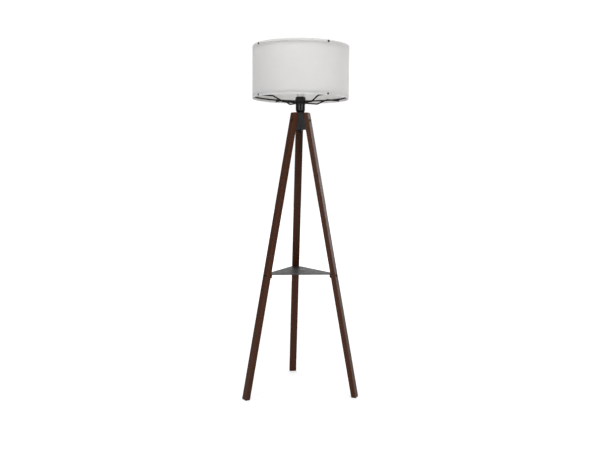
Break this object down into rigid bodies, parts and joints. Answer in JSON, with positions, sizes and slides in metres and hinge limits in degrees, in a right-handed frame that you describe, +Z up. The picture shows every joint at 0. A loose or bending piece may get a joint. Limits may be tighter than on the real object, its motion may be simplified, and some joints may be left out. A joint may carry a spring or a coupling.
{
  "type": "tripod floor lamp",
  "caption": "Floor lamp with a drum shade on three leaning wooden legs, bolted to a small metal hub and braced by a flat triangular tray.",
  "frame": {"origin": "on the lamp's axis at floor level", "axes": "+Z up along the lamp's axis, +Y towards the back leg, +X to the right as seen from the front"},
  "size_m": [0.4814, 0.4697, 1.4438],
  "materials": {
    "walnut": "satin stain with open grain",
    "black_metal": "fine satin powder coat",
    "tray_metal": "smooth satin lacquer",
    "black_wire": "satin enamel",
    "black_screw": "black oxide",
    "zinc": "bright zinc plate",
    "holder_plastic": "moulded bakelite gloss",
    "black_nylon": "moulded matte",
    "white_nylon": "moulded, natural colour",
    "glide_plastic": "moulded matte",
    "porcelain": "glazed",
    "brass": "plain",
    "shade_fabric": "plain weave laminated on a clear sheet",
    "opal": "milky diffuser",
    "bulb_plastic": "moulded matte white",
    "bulb_metal": "pressed and plated"
  },
  "bodies": {
    "stand": {"leg_back": "walnut", "glide_back": "glide_plastic", "leg_left": "walnut", "glide_left": "glide_plastic", "leg_right": "walnut", "glide_right": "glide_plastic", "hub_shell": "black_metal", "hub_cover": "black_metal", "hub_bolts": "black_screw", "hub_washers": "zinc", "hub_nuts": "zinc", "tray": "tray_metal", "tray_bolts": "black_screw", "tray_washers": "black_screw", "tray_nuts": "black_screw", "threaded_tube": "black_screw", "tube_washer": "black_screw", "tube_nut": "black_screw", "cord_bush": "black_nylon", "lampholder_cap": "holder_plastic", "grub_screw": "zinc", "lampholder_barrel": "holder_plastic", "lampholder_insulator": "porcelain", "centre_contact": "brass", "side_contact": "brass", "screw_shell": "brass", "terminals": "brass", "terminal_screws": "zinc"},
    "shade": {"shade_panel": "shade_fabric", "top_ring": "black_wire", "bottom_ring": "black_wire", "centre_ring": "black_wire", "carrier_arm_1": "black_wire", "carrier_arm_2": "black_wire", "carrier_arm_3": "black_wire", "carrier_arm_4": "black_wire", "top_clips": "white_nylon", "bottom_clips": "white_nylon", "top_rivets": "black_nylon", "bottom_rivets": "black_nylon"},
    "clamp_ring": {"retaining_ring": "holder_plastic"},
    "bulb": {"bulb_contact": "zinc", "bulb_insulator": "black_nylon", "bulb_cap": "bulb_metal", "bulb_housing": "bulb_plastic", "bulb_globe": "opal"}
  },
  "joints": [
    {"name": "shade_turn", "type": "hinge", "parent": "stand", "child": "shade", "pos_m": [0, 0, 1.2145], "axis": [0, 0, 1], "continuous": true},
    {"name": "ring_turn", "type": "hinge", "parent": "stand", "child": "clamp_ring", "pos_m": [0, 0, 1.227], "axis": [0, 0, 1], "continuous": true},
    {"name": "bulb_turn", "type": "hinge", "parent": "stand", "child": "bulb", "pos_m": [0, 0, 1.25], "axis": [0, 0, 1], "continuous": true}
  ]
}
